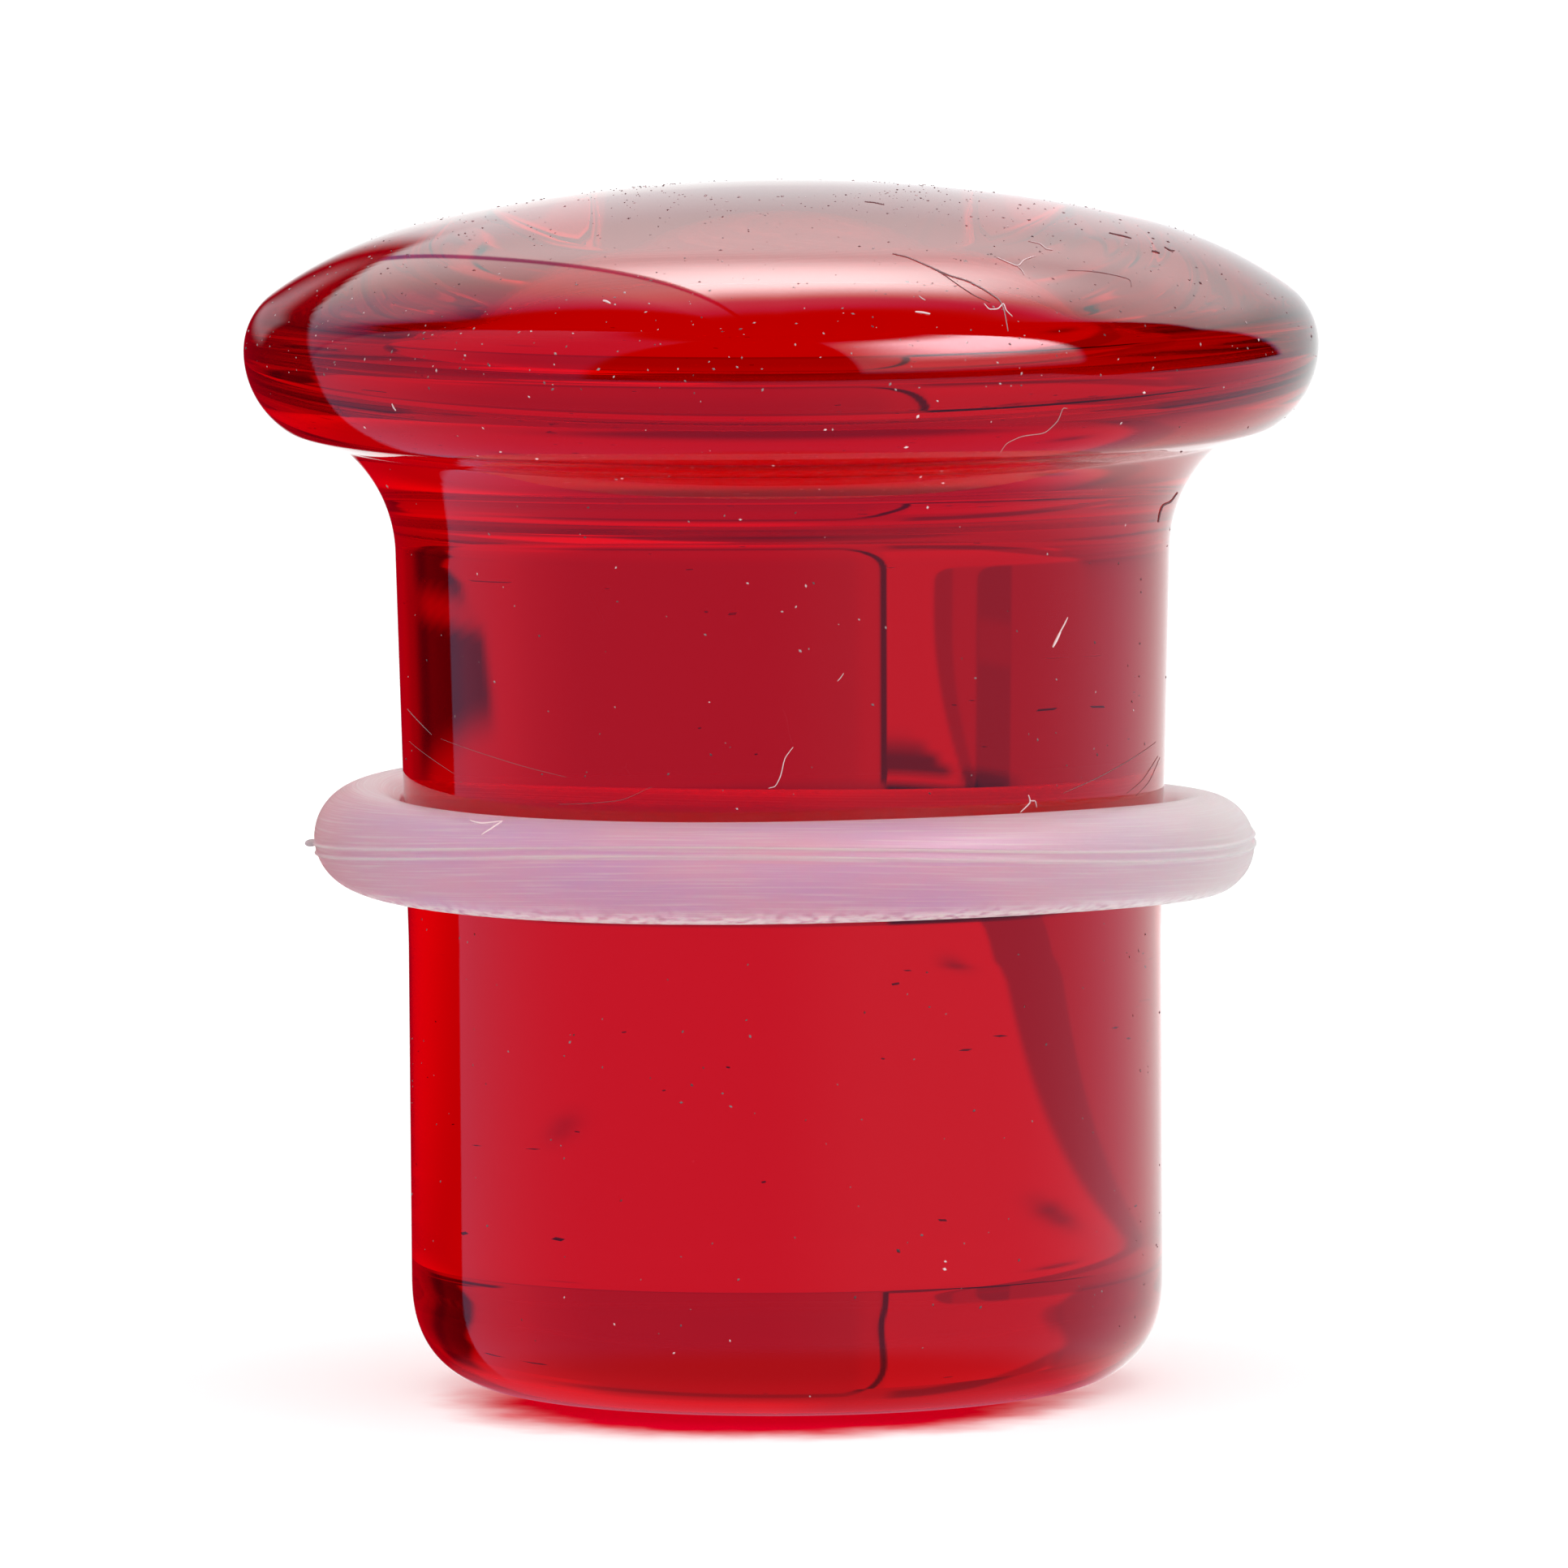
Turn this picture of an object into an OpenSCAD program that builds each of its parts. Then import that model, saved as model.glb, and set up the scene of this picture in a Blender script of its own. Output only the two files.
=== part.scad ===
// A single-flare glass ear plug. The barrel, the neck and the domed flare are one solid piece
// of glass, and a soft silicone ring grips the bare end. It stands on its bare end, with the
// origin at the middle of the base.

/* [Barrel] */
// Diameter of the bare end, a plain cylinder
barrel_d = 9.9; // [9.7:0.1:10]
// Radius of the rounded edge round the base
base_edge_r = 1.25; // [0.6:0.05:2]
// Height at which the barrel starts to widen a little towards the neck
taper_z = 5.9; // [4:0.1:6]
// Diameter at the top of the barrel, where the neck starts
neck_d = 10.16; // [10.1:0.02:10.5]

/* [Flare] */
// Height from the base to the top of the dome
total_h = 15.8; // [15:0.1:18]
// Diameter of the flare at its widest
flare_d = 14.1; // [13.8:0.1:14.4]
// Steepness, in degrees, at which the flat middle of the dome turns into its shoulder
crown_turn = 13; // [10:1:16]
// Radius of the dome's shoulder
shoulder_r = 5.3; // [4:0.1:6]
// Steepness, in degrees, at which the shoulder turns into the rim
shoulder_turn = 36; // [30:1:45]
// Radius of the rim above the widest place
rim_r = 0.9; // [0.6:0.05:1.1]
// Radius of the lip below the widest place
lip_r = 1.23; // [1:0.01:1.4]
// Steepness, in degrees, at which the lip ends
lip_turn = 32; // [25:1:40]
// Steepness, in degrees, of the flare's underside
under_slope = 17; // [10:1:22]
// Width of the underside, from the lip to the neck
under_w = 0.72; // [0.5:0.02:0.8]
// Radius of the hollow curve between the barrel and the flare
neck_arc_r = 1.84; // [1.6:0.02:2.2]

/* [Ring] */
// Thickness of the ring's round cord
cord_d = 1.38; // [1.2:0.02:1.6]
// Outer diameter of the ring on the barrel
ring_d = 12.4; // [12.2:0.1:12.6]
// Height of the ring's middle above the base
ring_z = 7.27; // [5:0.01:8.5]
// Clearance between the ring and the glass
ring_gap = 0.05; // [0.02:0.01:0.08]

/* [Hidden] */
$fn = 96;

barrel_r = barrel_d / 2;
neck_r = neck_d / 2;
flare_r = flare_d / 2;

// A height rounded to a thousandth of a millimetre
function micron(z) = round(z * 1000) / 1000;

// A direction in the profile: 0 degrees of steepness points straight up, 90 straight out
function slope_dir(a) = [sin(a), cos(a)];

// The dome is three arcs that run into each other: a wide crown, a shoulder and the rim.
// The crown's radius is what brings its middle onto the axis. Each smaller arc stands higher
// by a hair, so that it cuts the arc before it cleanly.
hair = 0.001;
crown_r = (flare_r - rim_r * (1 - sin(shoulder_turn))
    - shoulder_r * (sin(shoulder_turn) - sin(crown_turn))) / sin(crown_turn);
dome_h = rim_r * cos(shoulder_turn) + shoulder_r * (cos(crown_turn) - cos(shoulder_turn))
    + crown_r * (1 - cos(crown_turn));
wide_z = micron(total_h - dome_h) + 2 * hair;
crown_c = [0, total_h - crown_r];
crown_end = crown_c + crown_r * slope_dir(crown_turn);
shoulder_c = crown_end - shoulder_r * slope_dir(crown_turn) + [0, hair];
shoulder_end = shoulder_c + shoulder_r * slope_dir(shoulder_turn);
rim_c = [flare_r - rim_r, wide_z];

// Below the widest place the lip turns in, and a nearly flat underside runs to the neck
lip_c = [flare_r - lip_r, wide_z];
lip_end = lip_c + lip_r * [sin(lip_turn), -cos(lip_turn)];
under_dir = [cos(under_slope), sin(under_slope)];
under_end = lip_end - under_w * under_dir;

// The neck's hollow curve starts upright on the barrel and runs up into the underside
neck_arc_x = neck_r + neck_arc_r;
neck_z = micron(under_end[1] - sqrt(pow(neck_arc_r, 2) - pow(neck_arc_x - under_end[0], 2)));

// The ring's cord is pressed flat where it lies against the glass
cord_r = cord_d / 2;
cord_x = ring_d / 2 - cord_r;
taper_rise = (neck_r - barrel_r) / (neck_z - taper_z);
bore_r = barrel_r + taper_rise * (ring_z + cord_r - taper_z) + ring_gap;

// The bare end: a cylinder whose lower edge is rounded off
module barrel_outline() {
    square([barrel_r - base_edge_r, taper_z]);
    translate([0, base_edge_r])
        square([barrel_r, taper_z - base_edge_r]);
    translate([barrel_r - base_edge_r, base_edge_r])
        circle(r = base_edge_r);
}

// The upper barrel widens slightly, then curves out into the underside of the flare
module neck_outline() {
    polygon([[0, taper_z], [barrel_r, taper_z], [neck_r, neck_z], [0, neck_z]]);
    difference() {
        translate([0, neck_z])
            square([lip_end[0], wide_z - neck_z]);
        translate([neck_arc_x, neck_z])
            circle(r = neck_arc_r);
    }
}

// The flare below the widest place: its core, and the rounded lip round it. The underside
// starts well inside the neck, so that the neck's curve ends where the two really cross.
module lip_outline() {
    root = lip_end - 2 * under_w * under_dir;
    polygon([[0, root[1]], root, lip_end, [lip_end[0], wide_z], [0, wide_z]]);
    intersection() {
        translate(lip_c)
            circle(r = lip_r);
        translate([lip_end[0], wide_z - 2 * lip_r])
            square([flare_r, 2 * lip_r]);
    }
}

// What lies under one arc of the dome, from the axis out to where the arc ends
module dome_arc(centre, radius, end_x) {
    intersection() {
        translate(centre)
            circle(r = radius);
        translate([0, wide_z])
            square([end_x, 2 * dome_h]);
    }
}

// The dome above the widest place
module dome_outline() {
    dome_arc(crown_c, crown_r, crown_end[0]);
    dome_arc(shoulder_c, shoulder_r, shoulder_end[0]);
    dome_arc(rim_c, rim_r, 2 * flare_r);
}

// The plug: solid glass, turned from its half outline
module glass_plug() {
    color("#c0101c")
        rotate_extrude()
            union() {
                barrel_outline();
                neck_outline();
                lip_outline();
                dome_outline();
            }
}

// The ring: a round silicone cord, flat on its inner side
module silicone_ring() {
    color("#d8c4cc")
        rotate_extrude()
            intersection() {
                translate([cord_x, ring_z])
                    circle(r = cord_r);
                translate([bore_r, ring_z - cord_d])
                    square([cord_d * 2, cord_d * 2]);
            }
}

glass_plug();
silicone_ring();
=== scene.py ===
import math
import bpy
import numpy as np
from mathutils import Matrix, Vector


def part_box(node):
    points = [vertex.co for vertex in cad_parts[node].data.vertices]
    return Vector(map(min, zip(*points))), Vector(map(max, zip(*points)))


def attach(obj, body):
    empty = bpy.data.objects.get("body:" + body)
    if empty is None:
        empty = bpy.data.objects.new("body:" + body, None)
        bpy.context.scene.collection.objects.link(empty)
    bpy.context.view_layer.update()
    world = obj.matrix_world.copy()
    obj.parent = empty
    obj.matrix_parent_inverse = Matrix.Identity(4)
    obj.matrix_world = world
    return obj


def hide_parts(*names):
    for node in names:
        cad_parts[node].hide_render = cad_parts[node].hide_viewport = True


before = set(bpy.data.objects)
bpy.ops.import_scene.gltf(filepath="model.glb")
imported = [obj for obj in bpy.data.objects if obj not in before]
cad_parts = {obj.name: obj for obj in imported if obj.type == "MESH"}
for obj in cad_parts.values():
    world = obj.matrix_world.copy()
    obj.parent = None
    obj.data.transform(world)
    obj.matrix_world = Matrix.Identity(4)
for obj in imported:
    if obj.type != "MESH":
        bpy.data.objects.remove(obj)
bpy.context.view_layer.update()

# Lengths are in mm, unless they are times MM, which turns them into metres
MM = 0.001

# The plug: one solid piece of transparent red glass, drawn and pressed hot from a rod and then
# fire-polished. The barrel is a plain cylinder, widens a little towards the neck, and the neck
# curves out into the flare, whose lip rolls over into a low dome.
plug_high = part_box("glass_plug")[1]
flare_r = plug_high.x / MM
total_h = plug_high.z / MM
barrel_r = 4.95
base_edge_w, base_edge_power = 1.45, 2.4
taper_z = 5.9
neck_r = 5.08
crown_turn, shoulder_turn = 13, 36
shoulder_r, rim_r = 5.3, 0.9
lip_r, lip_turn = 1.23, 32
under_slope, under_w = 17, 0.72
neck_arc_r = 1.84
corner_soft = 0.05
wave_two, wave_three = 0.006, 0.004


def arc(centre, radius, start, stop):
    """Points on a circle: the centre plus the radius times the cosine and the sine of an angle
    that runs evenly from start to stop, in degrees."""
    angle = np.radians(np.linspace(start, stop, 60))
    return np.c_[centre[0] + radius * np.cos(angle), centre[1] + radius * np.sin(angle)]


def plug_outline():
    """The plug's half outline from the middle of the base round to the top of the dome, in mm.
    It is a chain of straight lines and arcs, each of which starts where the last one ends."""
    rise, lean = math.sin(math.radians(crown_turn)), math.sin(math.radians(shoulder_turn))
    crown_r = (flare_r - rim_r * (1 - lean) - shoulder_r * (lean - rise)) / rise
    crown_c = np.array([0, total_h - crown_r])
    shoulder_c = crown_c + (crown_r - shoulder_r) * np.array([rise, math.cos(math.radians(crown_turn))])
    rim_c = shoulder_c + (shoulder_r - rim_r) * np.array([lean, math.cos(math.radians(shoulder_turn))])
    lip_c = (flare_r - lip_r, rim_c[1])
    lip = arc(lip_c, lip_r, lip_turn - 90, 0)
    slope = math.radians(under_slope)
    under_end = lip[0] - under_w * np.array([math.cos(slope), math.sin(slope)])
    arc_x = neck_r + neck_arc_r
    turn = math.degrees(math.acos((arc_x - under_end[0]) / neck_arc_r))
    neck_z = under_end[1] - neck_arc_r * math.sin(math.radians(turn))
    # The edge round the base starts and ends more gently than a circle does: it is the curve
    # where the two offsets, each raised to the same power, always add up to one
    part = np.radians(np.linspace(0, 90, 90))
    out, up = np.sin(part) ** (2 / base_edge_power), np.cos(part) ** (2 / base_edge_power)
    base_edge = np.c_[barrel_r - base_edge_w * (1 - out), base_edge_w * (1 - up)]
    return np.vstack([
        [[0, 0]],
        base_edge,
        [[barrel_r, taper_z]],
        arc((arc_x, neck_z), neck_arc_r, 180, 180 - turn),
        lip,
        arc(rim_c, rim_r, 0, 90 - shoulder_turn)[1:],
        arc(shoulder_c, shoulder_r, 90 - shoulder_turn, 90 - crown_turn)[1:],
        arc(crown_c, crown_r, 90 - crown_turn, 90)[1:]])


def smoothed(outline, soft, count):
    """An outline whose corners are softened and whose points gather where it turns. It is read
    every hundredth of a millimetre, each point becomes the average of its neighbours within
    about the length soft, and the points kept are evenly spread over length plus turning, where
    a quarter of a millimetre counts as much as 2.2 degrees."""
    step, per_length, per_turn = 0.01, 0.25, math.radians(2.2)
    along = np.r_[0, np.cumsum(np.hypot(*np.diff(outline, axis=0).T))]
    fine = np.arange(0, along[-1], step)
    line = np.c_[np.interp(fine, along, outline[:, 0]), np.interp(fine, along, outline[:, 1])]
    reach = int(4 * soft / step)
    weight = np.exp(-0.5 * (np.arange(-reach, reach + 1) * step / soft) ** 2)
    weight /= weight.sum()
    # Mirrored past both ends, so that the outline still meets the axis squarely
    mirror = np.array([-1, 1])
    padded = np.vstack([line[reach:0:-1] * mirror, line, line[-2:-reach - 2:-1] * mirror])
    line = np.c_[np.convolve(padded[:, 0], weight, "valid"), np.convolve(padded[:, 1], weight, "valid")]
    heading = np.unwrap(np.arctan2(*np.gradient(line, axis=0).T[::-1]))
    spread = np.r_[0, np.cumsum(step / per_length + np.abs(np.diff(heading)) / per_turn)]
    pick = np.interp(np.linspace(0, spread[-1], count), spread, np.arange(len(line)))
    line = np.c_[np.interp(pick, np.arange(len(line)), line[:, 0]),
                 np.interp(pick, np.arange(len(line)), line[:, 1])]
    line[[0, -1], 0] = 0
    return line


def make_mesh(name, points, *faces):
    """A mesh object at the origin from points in mm and arrays of faces, whose rows are three or
    four point numbers."""
    mesh = bpy.data.meshes.new(name)
    rows = [row for part in faces for row in part.tolist()]
    mesh.from_pydata((np.asarray(points) * MM).tolist(), [], rows)
    mesh.polygons.foreach_set("use_smooth", np.ones(len(rows), bool))
    mesh.update()
    made = bpy.data.objects.new(name, mesh)
    bpy.context.scene.collection.objects.link(made)
    return made


def turned_faces(rows, turns):
    """Faces of a turned grid of rows by turns points that follow a first point and come before
    a last one, both on the axis: quads between neighbouring rows, and a fan at each end."""
    this = np.arange(turns)
    after = np.roll(this, -1)
    low, top = 1 + turns * np.arange(rows - 1)[:, None], 1 + (rows - 1) * turns
    quads = np.stack([low + this, low + after, low + turns + after, low + turns + this], -1)
    fans = [np.c_[np.zeros(turns, int), 1 + after, 1 + this],
            np.c_[top + this, top + after, np.full(turns, top + turns)]]
    return quads.reshape(-1, 4), np.vstack(fans)


def out_of_round(turn, height):
    """How far the glass lies inside a true circle, in mm. It was worked by hand, so two cosines
    run two and three times round it and drift with height."""
    twice = wave_two * np.cos(2 * turn + 0.7 + height / 6)
    thrice = wave_three * np.cos(3 * turn - 1.1 + height / 4)
    return wave_two + wave_three + twice + thrice


turns, rows = 256, 290
outline = smoothed(plug_outline(), corner_soft, rows)
body = outline[1:-1]
angle = np.linspace(0, 2 * np.pi, turns, endpoint=False)[None, :]
level = body[:, 1:2]
# The unevenness dies away towards the axis
reach = body[:, :1] - out_of_round(angle, level) * np.minimum(body[:, :1] / barrel_r, 1)
grid = np.stack([reach * np.cos(angle), reach * np.sin(angle), level + 0 * angle], -1).reshape(-1, 3)
points = np.vstack([[[0, 0, outline[0, 1]]], grid, [[0, 0, outline[-1, 1]]]])
plug = make_mesh("ruby_plug", points, *turned_faces(len(body), turns))


def linear(colour):
    """The linear colour of an sRGB hex value such as "#c0101c"."""
    value = np.array([int(colour[i:i + 2], 16) for i in (1, 3, 5)]) / 255
    value = np.where(value <= 0.04045, value / 12.92, ((value + 0.055) / 1.055) ** 2.4)
    return (*value.tolist(), 1.0)


def add(tree, kind, inputs=None, **settings):
    """A new node: settings are its own properties, and inputs gives each named socket a value
    or another node's output."""
    made = tree.nodes.new(kind)
    for name, value in settings.items():
        setattr(made, name, value)
    for name, value in (inputs or {}).items():
        if isinstance(value, bpy.types.NodeSocket):
            tree.links.new(value, made.inputs[name])
        else:
            made.inputs[name].default_value = value
    return made


def new_material(name):
    """An empty node material and its tree."""
    made = bpy.data.materials.new(name)
    made.use_nodes = True
    made.node_tree.nodes.clear()
    return made, made.node_tree


# Fire-polished glass is as smooth as a mirror. In 10 mm this one takes 11 % of the red light and
# nearly all of the rest. The absorption's colour is no surface colour but the share of each
# colour that is spared, so it isn't given in hex.
glass, tree = new_material("ruby soda-lime glass")
surface = add(tree, "ShaderNodeBsdfPrincipled", {
    "Base Color": linear("#ffffff"), "Roughness": 0.0, "IOR": 1.52, "Transmission Weight": 1.0})
inside = add(tree, "ShaderNodeVolumeAbsorption", {"Color": (0.994, 0.0, 0.0, 1.0), "Density": 2000})
add(tree, "ShaderNodeOutputMaterial", {"Surface": surface.outputs[0], "Volume": inside.outputs[0]})
plug.data.materials.append(glass)
# Glass lets the light through to the table, which a shadow ray would not
plug.visible_shadow = False
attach(plug, "root")
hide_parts("glass_plug")

# The ring: a soft silicone O-ring with a round cord, moulded in two halves and rolled on over
# the bare end. It is milky and lets some of the red glass shine through, and its mould left a
# fine double line round it and a nub at the gate.
ring_low, ring_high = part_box("silicone_ring")
cord_r = (ring_high.z - ring_low.z) / 2 / MM
ring_z = (ring_high.z + ring_low.z) / 2 / MM
cord_x = ring_high.x / MM - cord_r
seat_r = 5.04
line_h, line_w, line_apart = 0.03, 1.7, 10.8
rim_low, rim_low_w = -73, 20
rim_high, rim_high_w = 97, 15


def ring_lie(turn):
    """How high the middle of the cord lies on the barrel, in mm. The ring was rolled on by hand,
    so its height wanders, as a sum of sines that run once and twice round."""
    return ring_z - 0.10 * (1 + np.sin(turn)) - 0.095 * np.cos(turn) - 0.073 * np.sin(2 * turn)


def ring_mesh(turn_count, name):
    """The ring as a grid: a circle of the cord's radius, cut off where it meets the glass and
    carried round the barrel. Angles are in degrees, with the front at -90 and the right at 0.
    The mould line's place on the cord wanders as a sum of sines of the angle, and the line is two
    narrow bells side by side. The two rims, where the material paints a highlight and light from
    below, are broad bells at fixed places on the cord, where 0 is outwards and 90 is up."""
    turn = np.radians(np.arange(turn_count) * 360 / turn_count + 90)[:, None]
    # The points lie one degree apart at the mould line and three elsewhere
    from_line = np.r_[np.arange(-12, 12, 1.0), np.arange(12, 348, 3.0)][None, :]
    line_at = 13 + 10 * np.cos(turn) + np.sin(turn) - 16 * np.cos(2 * turn) + 12 * np.sin(2 * turn)
    section = np.radians(line_at + from_line)
    line = sum(np.exp(-((from_line - place) / line_w) ** 2) for place in (-line_apart / 2, line_apart / 2))
    lower, upper = (np.exp(-(((line_at + from_line - place + 180) % 360 - 180) / width) ** 2)
                    for place, width in ((rim_low, rim_low_w), (rim_high, rim_high_w)))
    bulge = cord_r - line_h + line_h * line
    reach = np.maximum(cord_x + bulge * np.cos(section), seat_r)
    seat = (reach == seat_r).astype(float)
    height = ring_lie(turn) + bulge * np.sin(section)
    grid = np.stack([reach * np.cos(turn), reach * np.sin(turn), height], -1).reshape(-1, 3)
    number = np.arange(turn_count * from_line.size).reshape(turn_count, -1)
    turned, sided = np.roll(number, -1, axis=0), np.roll(number, -1, axis=1)
    faces = np.stack([number, turned, np.roll(turned, -1, axis=1), sided], -1).reshape(-1, 4)
    made = make_mesh(name, grid, faces)
    for title, painted_share in (("mould_line", line), ("lower_rim", lower), ("upper_rim", upper), ("seat", seat)):
        painted_share = np.broadcast_to(painted_share, (turn_count, line.size))
        made.data.attributes.new(title, "FLOAT", "POINT").data.foreach_set("value", painted_share.ravel())
    # The map runs once round the barrel across and once round the cord up
    edge = np.r_[from_line[0], from_line[0, 0] + 360]
    u = np.arange(turn_count + 1)[:, None] / turn_count + 0 * edge
    v = 0 * u + (edge - edge[0]) / 360
    spot = np.stack([u, v], -1)
    corners = np.stack([spot[:-1, :-1], spot[1:, :-1], spot[1:, 1:], spot[:-1, 1:]], 2)
    made.data.uv_layers.new(name="UVMap").data.foreach_set("uv", corners.ravel())
    return made


ring = ring_mesh(360, "silicone_o_ring")

# Moulded silicone is satin, and milky because light scatters a little way under its skin
silicone, tree = new_material("milky silicone rubber")
where = add(tree, "ShaderNodeUVMap", uv_map="UVMap")
# Round the barrel the map is 39 mm long and round the cord 4.3 mm, so these streaks are about
# 2 mm long and 0.03 mm wide, and the patches about 3 mm by 0.8 mm
long_way = add(tree, "ShaderNodeVectorMath", {0: where.outputs[0], 1: (20.0, 140.0, 1.0)},
               operation="MULTIPLY")
streaks = add(tree, "ShaderNodeTexNoise", {"Vector": long_way.outputs[0], "Scale": 1.0, "Detail": 4.0})
wide_way = add(tree, "ShaderNodeVectorMath", {0: where.outputs[0], 1: (13.0, 5.0, 1.0)},
               operation="MULTIPLY")
patches = add(tree, "ShaderNodeTexNoise", {"Vector": wide_way.outputs[0], "Scale": 1.0, "Detail": 2.0})
share = add(tree, "ShaderNodeMapRange", {"Value": patches.outputs[0], "From Min": 0.35, "From Max": 0.65})
milky = add(tree, "ShaderNodeMix", {"Factor": share.outputs[0], 6: linear("#f4cfe4"), 7: linear("#e6c9ee")},
            data_type="RGBA")
# Round the sides and the back, light and shade are painted into the colour: the right is whiter, as
# painted light where no red glass lies behind it, the left pinker, as a painted red reflection, and
# the back a little greyer, as painted shade, going by how dark it looks through the glass. Along the
# map, 0 and 1 are the back, 0.25 is the left, 0.5 the front and 0.75 the right.
round_way = add(tree, "ShaderNodeSeparateXYZ", {0: where.outputs[0]})
painted_light_right = add(tree, "ShaderNodeMapRange", {
    "Value": round_way.outputs["X"], "From Min": 0.55, "From Max": 0.70})
painted_red_left = add(tree, "ShaderNodeMapRange", {
    "Value": round_way.outputs["X"], "From Min": 0.36, "From Max": 0.26})
from_front = add(tree, "ShaderNodeMath", {0: round_way.outputs["X"], 1: 0.5}, operation="SUBTRACT")
apart = add(tree, "ShaderNodeMath", {0: from_front.outputs[0]}, operation="ABSOLUTE")
painted_shade_back = add(tree, "ShaderNodeMapRange", {"Value": apart.outputs[0], "From Min": 0.34, "From Max": 0.46,
                                           "To Max": 0.8})
for reached, tone in ((painted_light_right, "#f6eeef"), (painted_red_left, "#f1d0d6"), (painted_shade_back, "#ccbcbf")):
    milky = add(tree, "ShaderNodeMix", {
        "Factor": reached.outputs[0], 6: milky.outputs[2], 7: linear(tone)}, data_type="RGBA")
# The streaks make it paler in places, and the raised mould line is painted paler as a highlight,
# unevenly along the streaks
paler = add(tree, "ShaderNodeMapRange", {"Value": streaks.outputs[0], "From Min": 0.5, "From Max": 0.75,
                                         "To Max": 0.7})
line = add(tree, "ShaderNodeAttribute", attribute_name="mould_line")
painted_share = add(tree, "ShaderNodeMapRange", {"Value": streaks.outputs[0], "From Min": 0.3, "From Max": 0.6,
                                        "To Min": 0.45})
streaks_and_painted_light = add(tree, "ShaderNodeMath", {0: line.outputs["Fac"], 1: painted_share.outputs[0], 2: paler.outputs[0]},
             operation="MULTIPLY_ADD")
# The lower rim is painted paler, as light from the floor below, broken into specks about 0.15 mm
# across
speck_way = add(tree, "ShaderNodeVectorMath", {0: where.outputs[0], 1: (260.0, 36.0, 1.0)},
                operation="MULTIPLY")
grain = add(tree, "ShaderNodeTexNoise", {"Vector": speck_way.outputs[0], "Scale": 1.0, "Detail": 3.0})
rim_specks = add(tree, "ShaderNodeMapRange", {"Value": grain.outputs[0], "From Min": 0.34, "From Max": 0.56})
rim = add(tree, "ShaderNodeAttribute", attribute_name="lower_rim")
painted_rim_light = add(tree, "ShaderNodeMath", {0: rim.outputs["Fac"], 1: rim_specks.outputs[0]}, operation="MULTIPLY")
streaks_and_painted_light = add(tree, "ShaderNodeMath", {0: painted_rim_light.outputs[0], 1: 1.0, 2: streaks_and_painted_light.outputs[0]},
             operation="MULTIPLY_ADD", use_clamp=True)
# The upper rim is painted paler too, as a highlight along the top of the cord
rim = add(tree, "ShaderNodeAttribute", attribute_name="upper_rim")
streaks_and_painted_light = add(tree, "ShaderNodeMath", {0: rim.outputs["Fac"], 1: 0.35, 2: streaks_and_painted_light.outputs[0]},
             operation="MULTIPLY_ADD", use_clamp=True)
colour = add(tree, "ShaderNodeMix", {"Factor": streaks_and_painted_light.outputs[0], 6: milky.outputs[2], 7: linear("#ffffff")},
             data_type="RGBA")
# The side that lies on the glass is painted red, as painted light: the light that reaches it has
# come through the glass
seat = add(tree, "ShaderNodeAttribute", attribute_name="seat")
colour = add(tree, "ShaderNodeMix", {
    "Factor": seat.outputs["Fac"], 6: colour.outputs[2], 7: linear("#de949d")}, data_type="RGBA")
# Where the lower rim is painted paler, less light goes through
through = add(tree, "ShaderNodeMath", {0: painted_rim_light.outputs[0], 1: -0.42, 2: 0.62}, operation="MULTIPLY_ADD")
relief = add(tree, "ShaderNodeBump", {"Height": streaks.outputs[0], "Strength": 0.25, "Distance": 0.02 * MM})
surface = add(tree, "ShaderNodeBsdfPrincipled", {
    "Base Color": colour.outputs[2], "Normal": relief.outputs[0], "Roughness": 0.42, "IOR": 1.41,
    "Transmission Weight": through.outputs[0], "Subsurface Weight": 1.0, "Subsurface Radius": (1.0, 0.8, 0.9),
    "Subsurface Scale": 0.6 * MM})
add(tree, "ShaderNodeOutputMaterial", {"Surface": surface.outputs[0]})
ring.data.materials.append(silicone)
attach(ring, "root")
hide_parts("silicone_ring")

# The gate nub: the stub of silicone left at the mould line on the left, where the mould was fed.
# It is a ball drawn out into a short peg, which points outwards and droops a little.
nub_r, nub_long, nub_out = 0.05, 0.085, 0.02
nub_droop, nub_drop = 0.12, 0.08
nub_turn, nub_section = math.radians(182), math.radians(-10)
nub_reach = cord_x + cord_r * math.cos(nub_section) + nub_out
up, across = np.meshgrid(np.linspace(0, np.pi, 12)[1:-1], np.arange(20) * np.pi / 10, indexing="ij")
ball = np.stack([nub_r * np.sin(up) * np.cos(across), nub_r * np.sin(up) * np.sin(across),
                 nub_long * np.cos(up)], -1)
ball = np.vstack([[[0, 0, nub_long]], ball.reshape(-1, 3), [[0, 0, -nub_long]]])
outward = np.array([math.cos(nub_turn), math.sin(nub_turn), -nub_droop])
sideways = np.array([-math.sin(nub_turn), math.cos(nub_turn), 0])
stub = ball @ np.array([np.cross(outward, sideways), sideways, outward])
stub += np.array([nub_reach * math.cos(nub_turn), nub_reach * math.sin(nub_turn), ring_z - nub_drop])
nub = make_mesh("mould_nub", stub, *turned_faces(*up.shape))
nub.data.materials.append(silicone)
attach(nub, "root")

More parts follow.
